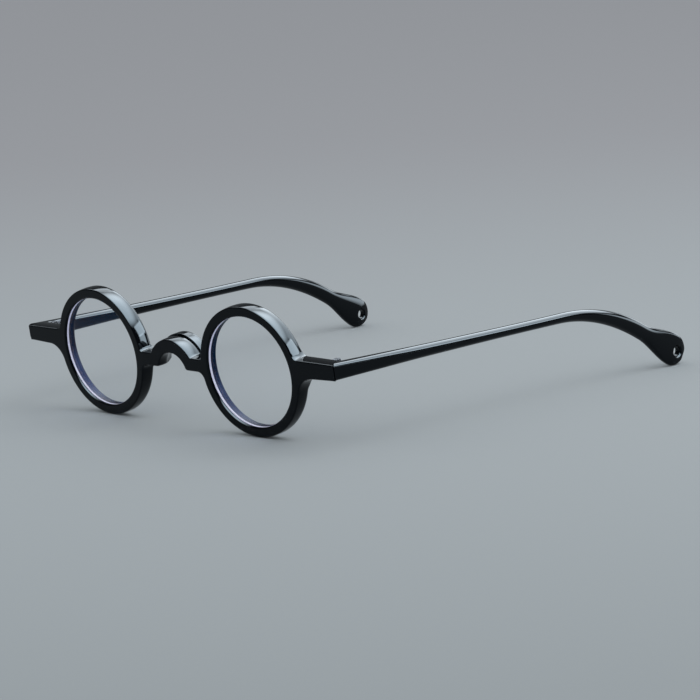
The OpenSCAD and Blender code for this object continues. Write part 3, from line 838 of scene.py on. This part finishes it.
acetateLook = {
    "dark": (0.0003, 0.0006, 0.0014, 1), "light": (0.0009, 0.0014, 0.0026, 1), "ior": 1.49, "shine": 0.17,
    "sheenTint": (0.80, 0.92, 1.0, 1), "polished": 0.055, "worn": 0.11, "bump": 0.02, "bumpDepth": 0.00001,
    "cloud": 55.0, "cloudRamp": (0.35, 2.2), "cloudBump": 6, "speckle": 2600.0, "speckleBump": 0.4,
    "smudge": 140.0, "smudgeRamp": (0.52, 3), "smudgeShare": 0.6,
    "hairlines": (900, 60, 900), "hairlineRamp": (0.6, 4), "hairlineShare": 0.4,
}


def acetateMaterial(name, look):
    material, tree = newMaterial(name)
    place = objectSpace(tree, (1, 1, 1))
    cloud = noise(tree, place, look["cloud"], 3.0)
    hairlines = noise(tree, objectSpace(tree, look["hairlines"]), 1.0, 2.0, 0.6)
    speckle = noise(tree, place, look["speckle"], 1.0)
    smudge = noise(tree, place, look["smudge"], 4.0, 0.6)
    colour = mixColours(tree, ramped(tree, cloud, *look["cloudRamp"]), look["dark"], look["light"])
    wear = ramped(tree, smudge, *look["smudgeRamp"]) * look["smudgeShare"] \
        + ramped(tree, hairlines, *look["hairlineRamp"]) * look["hairlineShare"]
    rough = look["polished"] + wear * (look["worn"] - look["polished"])
    bump = tree.add("ShaderNodeBump", None, Strength=look["bump"], Distance=look["bumpDepth"],
                    Height=cloud * look["cloudBump"] + speckle * look["speckleBump"])
    finishMaterial(tree, tree.add("ShaderNodeBsdfPrincipled", None, Base_Color=colour, Roughness=rough,
                                  IOR=look["ior"], Specular_IOR_Level=look["shine"],
                                  Specular_Tint=look["sheenTint"], Normal=bump))
    return material


lensLook = {
    "tint": (0.985, 0.99, 1.0, 1), "ior": 1.5, "film": 190.0, "filmIor": 1.225,  # the coat, in nanometres
    "ground": (0.84, 0.86, 0.98, 1), "groundLight": (0.97, 0.97, 1.0, 1),
    "paintedEdgeGlow": (0.60, 0.65, 1.0, 1), "paintedGlow": 0.22,  # painted glow: the ground edge emits this light, standing in for light that the lens carries to it
    "dust": 900.0, "dustRamp": (0.72, 6), "dustRough": 0.06,
    "grind": 3000.0, "groundRough": 0.6, "groundShine": 0.3, "bump": 0.3, "bumpDepth": 0.00002,
}


def lensMaterial():
    material, tree = newMaterial("coatedLens")
    place = objectSpace(tree, (1, 1, 1))
    dust = ramped(tree, noise(tree, place, lensLook["dust"], 2.0), *lensLook["dustRamp"])
    glass = tree.add("ShaderNodeBsdfPrincipled", None, Base_Color=lensLook["tint"],
                     Roughness=dust * lensLook["dustRough"], IOR=lensLook["ior"], Transmission_Weight=1.0,
                     Thin_Film_Thickness=lensLook["film"], Thin_Film_IOR=lensLook["filmIor"])
    clear = tree.add("ShaderNodeBsdfTransparent", None, lensLook["tint"])
    shadow = tree.add("ShaderNodeLightPath").out("Is Shadow Ray")
    finishMaterial(tree, tree.add("ShaderNodeMixShader", None, shadow, glass, clear))
    return material


def lensEdgeMaterial():  # the ground bevel of a lens, which shows as a pale line inside the window, partly by its painted glow
    material, tree = newMaterial("groundLensEdgePaintedGlow")
    grind = noise(tree, objectSpace(tree, (1, 1, 1)), lensLook["grind"], 2.0)
    colour = mixColours(tree, grind, lensLook["ground"], lensLook["groundLight"])
    bump = tree.add("ShaderNodeBump", None, Strength=lensLook["bump"], Distance=lensLook["bumpDepth"],
                    Height=grind)
    finishMaterial(tree, tree.add("ShaderNodeBsdfPrincipled", None, Base_Color=colour, Normal=bump,
                                  Roughness=lensLook["groundRough"],
                                  Specular_IOR_Level=lensLook["groundShine"],
                                  # painted glow: the emission lights the ground edge up though it is no lamp
                                  Emission_Color=lensLook["paintedEdgeGlow"], Emission_Strength=lensLook["paintedGlow"]))
    return material


metalLook = {
    "steel": (0.075, 0.078, 0.085, 1), "dull": (0.05, 0.052, 0.058, 1), "spread": 0.2,
    "patch": 420.0, "patchRamp": (0.25, 1.6), "bump": 0.2, "bumpDepth": 0.00002,
}

metals = {  # by the word in a node's name: the material, how its grain is stretched and its roughness
    "leaf": ("brushedHingeMetal", (400, 400, 9000), 0.34),
    "screw": ("screwMetal", (3000, 3000, 3000), 0.3),
    "wire": ("drawnWire", (6000, 200, 6000), 0.25),
}


def metalMaterial(name, stretch, rough):
    material, tree = newMaterial(name)
    grain = noise(tree, objectSpace(tree, stretch), 1.0, 3.0, 0.6)
    patch = noise(tree, objectSpace(tree, (1, 1, 1)), metalLook["patch"], 3.0)
    dullness = ramped(tree, patch, *metalLook["patchRamp"])
    colour = mixColours(tree, dullness, metalLook["steel"], metalLook["dull"])
    bump = tree.add("ShaderNodeBump", None, Strength=metalLook["bump"], Distance=metalLook["bumpDepth"],
                    Height=grain)
    finishMaterial(tree, tree.add("ShaderNodeBsdfPrincipled", None, Base_Color=colour, Metallic=1.0,
                                  Roughness=rough + grain * metalLook["spread"], Normal=bump))
    return material


def paint(piece, *materials):
    faces = [p.material_index for p in piece.data.polygons] if len(materials) > 1 else []
    piece.data.materials.clear()
    for material in materials:
        piece.data.materials.append(material)
    for polygon, index in zip(piece.data.polygons, faces):
        polygon.material_index = index


acetate = acetateMaterial("blackAcetate", acetateLook)
# The window walls behind the groove: rougher cut acetate whose dark navy colour and blue sheen tint are a
# painted reflection of the lens coating
cutAcetatePaintedNavy = acetateMaterial("cutAcetatePaintedNavyReflection", {
    **acetateLook, "dark": (0.0002, 0.0006, 0.004, 1), "light": (0.0006, 0.0012, 0.006, 1),
    "sheenTint": (0.25, 0.4, 1.0, 1), "shine": 0.06, "polished": 0.3, "worn": 0.45})
saddleAcetate = acetateMaterial("blackSaddleAcetate", {**acetateLook, "polished": 0.07})
lensGlass, lensEdge = lensMaterial(), lensEdgeMaterial()

paint(frontPiece, acetate, cutAcetatePaintedNavy)
for piece in templePieces:
    paint(piece, acetate)
paint(saddlePiece, saddleAcetate)
for piece in lensPieces:
    paint(piece, lensGlass, lensEdge)
for word, look in metals.items():
    metal = metalMaterial(*look)
    for name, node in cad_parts.items():
        if word in name:
            paint(node, metal)
print("materials: acetate, lens glass, hinge metal, wire")


# The floor and the light

studio = {
    "floor": (0.375, 0.418, 0.445, 1), "floorSize": 9.0,
    # painted shade: the floor's colour turns darker away from the glasses and towards the camera, where the
    # light falls off
    "shadedFarFloor": (0.336, 0.351, 0.378, 1), "farAt": 0.65,  # metres beyond the glasses
    "evenFrom": 1.2, "evenRun": 1.5,  # metres out, where the floor takes on the tone of the backdrop
    "shadedNearFloor": (0.315, 0.352, 0.375, 1), "nearAt": 0.34,  # metres before them
    "nearCurve": 1.5, "fibre": (0.5, 0.52, 0.54, 1), "fibreScale": 800.0, "fibreShare": 0.05,
    "sky": (1.0, 1.0, 1.0, 1), "skyLevel": 0.82,  # the even light from all round
    "backdrop": (0.276, 0.288, 0.31, 1),  # what shows above the floor's far edge
    "boxLight": (0.86, 0.955, 1.03, 1), "dim": 0.15,  # how bright the room between the boxes is in the gloss
    "boxLeast": 0.001,  # keeps a box from showing in the opposite direction too
}

softBoxes = {  # bearing and height in degrees; the rest in metres, on a plane one metre off in that direction
    "overhead": {"bearing": 0, "height": 90, "across": (-0.45, 1.0), "up": (-0.76, 1.6), "soft": (0.7, 0.6),
                 "level": 27},
    "back": {"bearing": -2, "height": 38, "across": (-0.55, 0.62), "up": (-0.2, 0.2), "soft": (0.14, 0.14),
             "level": 11},
    "rightBack": {"bearing": 50, "height": 18, "across": (-0.21, 0.25), "up": (0.04, 0.36),
                  "soft": (0.06, 0.06), "level": 26},
    "lowRight": {"bearing": 58, "height": 8, "across": (-0.14, 0.12), "up": (-0.16, 0.24),
                 "soft": (0.06, 0.06), "level": 20},
    "lowBack": {"bearing": 30, "height": 4, "across": (-0.17, 0.14), "up": (-0.04, 0.14),
                "soft": (0.08, 0.14), "level": 12},
    "lowFar": {"bearing": -8, "height": 12, "across": (-0.32, 0.54), "up": (-0.1, 0.12), "soft": (0.12, 0.1),
               "level": 4.5},
    "left": {"bearing": -67, "height": 36, "across": (-0.25, 0.36), "up": (-0.05, 0.25), "soft": (0.08, 0.06),
             "level": 5},
}

lamps = {  # in metres and watts, what shades the floor and the pieces
    "topBox": {"place": (0.45, 0.3, 0.85), "target": (0.08, 0.02, 0), "size": (0.9, 0.7), "watts": 2.4},
}


def buildFloor():
    bm = bmesh.new()
    half = studio["floorSize"] / 2
    bm.faces.new([bm.verts.new((x * half, y * half, 0)) for x, y in ((-1, -1), (1, -1), (1, 1), (-1, 1))])
    mesh = bpy.data.meshes.new("floor")
    bm.to_mesh(mesh)
    bm.free()
    floor = bpy.data.objects.new("floor", mesh)
    bpy.context.scene.collection.objects.link(floor)
    material, tree = newMaterial("palePaper")
    place = tree.add("ShaderNodeTexCoord").out("Object")
    parts = tree.add("ShaderNodeSeparateXYZ", None, place)
    away = (parts.out("Y") - parts.out("X")) * sqrt(0.5)  # from the camera's side to the far side
    # painted shade: darker towards the far side and towards the camera
    colour = mixColours(tree, eased(tree, away / studio["farAt"]), studio["floor"], studio["shadedFarFloor"])
    before = clamped(tree, -away / studio["nearAt"]) ** studio["nearCurve"]
    colour = mixColours(tree, before, colour, studio["shadedNearFloor"])
    out = tree.add("ShaderNodeVectorMath", {"operation": "LENGTH"}, place)
    beyond = eased(tree, (out - studio["evenFrom"]) / studio["evenRun"])
    colour = mixColours(tree, beyond, colour, studio["shadedFarFloor"])
    fibre = noise(tree, objectSpace(tree, (1, 1, 1)), studio["fibreScale"], 4.0)
    colour = mixColours(tree, fibre * studio["fibreShare"], colour, studio["fibre"])
    finishMaterial(tree, tree.add("ShaderNodeBsdfPrincipled", None, Base_Color=colour, Roughness=1.0,
                                  Specular_IOR_Level=0.0))
    paint(floor, material)


def areaLight(name, place, target, size, watts):
    data = bpy.data.lights.new(name, "AREA")
    data.shape, data.size, data.size_y, data.energy = "RECTANGLE", size[0], size[1], watts
    lamp = bpy.data.objects.new(name, data)
    bpy.context.scene.collection.objects.link(lamp)
    lamp.location = place
    lamp.rotation_euler = (Vector(target) - Vector(place)).to_track_quat("-Z", "Y").to_euler()
    lamp.visible_glossy = False  # the gloss mirrors the soft boxes of the world


def towards(bearing, height):
    return Vector((sinD(bearing) * cosD(height), cosD(bearing) * cosD(height), sinD(height)))


def softBox(tree, direction, box):  # 1 inside the box as seen from the glasses, falling off at its edges
    def along(axis):
        return tree.add("ShaderNodeVectorMath", {"operation": "DOT_PRODUCT"}, direction, axis)

    depth = along(towards(box["bearing"], box["height"])).math("MAXIMUM", studio["boxLeast"])
    axes = towards(box["bearing"] + 90, 0), towards(box["bearing"], box["height"] + 90)
    mask = 1
    for axis, (low, high), soft in zip(axes, (box["across"], box["up"]), box["soft"]):
        place = along(axis) / depth
        mask = eased(tree, (place - low) / soft + 0.5) * eased(tree, (high - place) / soft + 0.5) * mask
    return mask


def buildWorld():
    world = bpy.data.worlds.new("studio")
    bpy.context.scene.world = world
    world.use_nodes = True
    world.node_tree.nodes.clear()
    tree = Tree(world.node_tree)
    direction = tree.add("ShaderNodeTexCoord").out("Generated")
    level = studio["dim"]
    for box in softBoxes.values():
        level = softBox(tree, direction, box) * box["level"] + level
    rays = tree.add("ShaderNodeLightPath")
    light = tree.add("ShaderNodeBackground", None, studio["sky"], studio["skyLevel"])
    gloss = tree.add("ShaderNodeBackground", None, studio["boxLight"], level)
    backdrop = tree.add("ShaderNodeBackground", None, studio["backdrop"], 1.0)
    seen = clamped(tree, rays.out("Is Camera Ray") + rays.out("Is Transmission Ray"))
    shown = tree.add("ShaderNodeMixShader", None, rays.out("Is Glossy Ray"), light, gloss)
    tree.add("ShaderNodeOutputWorld", None, tree.add("ShaderNodeMixShader", None, seen, shown, backdrop))


buildFloor()
buildWorld()
for name, lamp in lamps.items():
    areaLight(name, **lamp)
print("studio: floor, world,", len(softBoxes), "soft boxes and", len(lamps), "lamp")

bpy.context.scene.view_settings.view_transform = "Standard"
